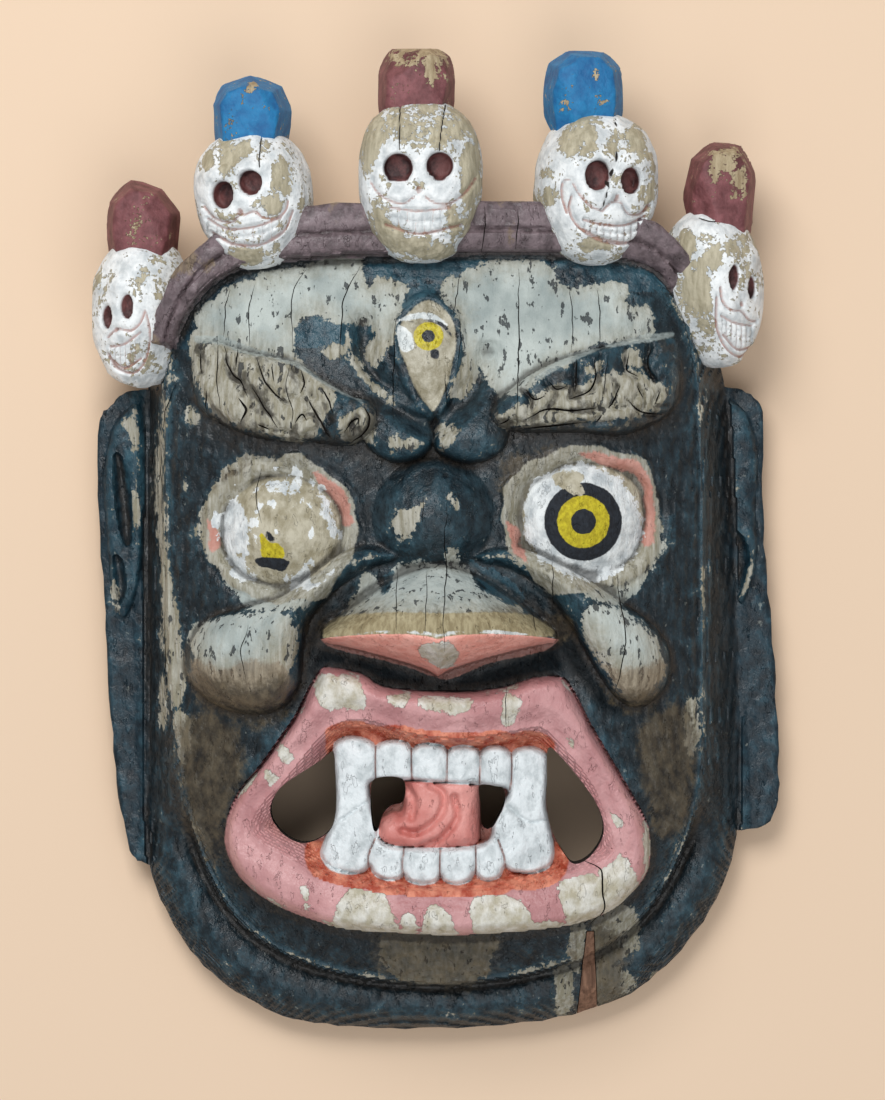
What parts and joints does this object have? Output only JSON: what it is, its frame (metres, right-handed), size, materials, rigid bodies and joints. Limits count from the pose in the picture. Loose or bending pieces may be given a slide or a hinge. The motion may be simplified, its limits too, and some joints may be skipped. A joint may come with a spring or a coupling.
{
  "type": "tibetan cham mask",
  "caption": "Carved and painted wooden dance mask of a wrathful protector: bulging eyes, bared teeth, third eye and a crown of skulls, hollow behind.",
  "frame": {"origin": "under the middle of the mask, on the plane of its back rim", "axes": "+Z out of the face, +Y up the face to the crown, +X to the viewer's right of the face"},
  "size_m": [0.295, 0.4201, 0.108],
  "materials": {
    "painted_wood": "worn blue-black tempera over pale ground and bare wood, with pink lips, white teeth and skulls",
    "bare_wood": "unpainted brown softwood, rubbed and dirty"
  },
  "bodies": {
    "root": {"mask": "painted_wood", "repair_splint": "bare_wood"}
  },
  "joints": []
}
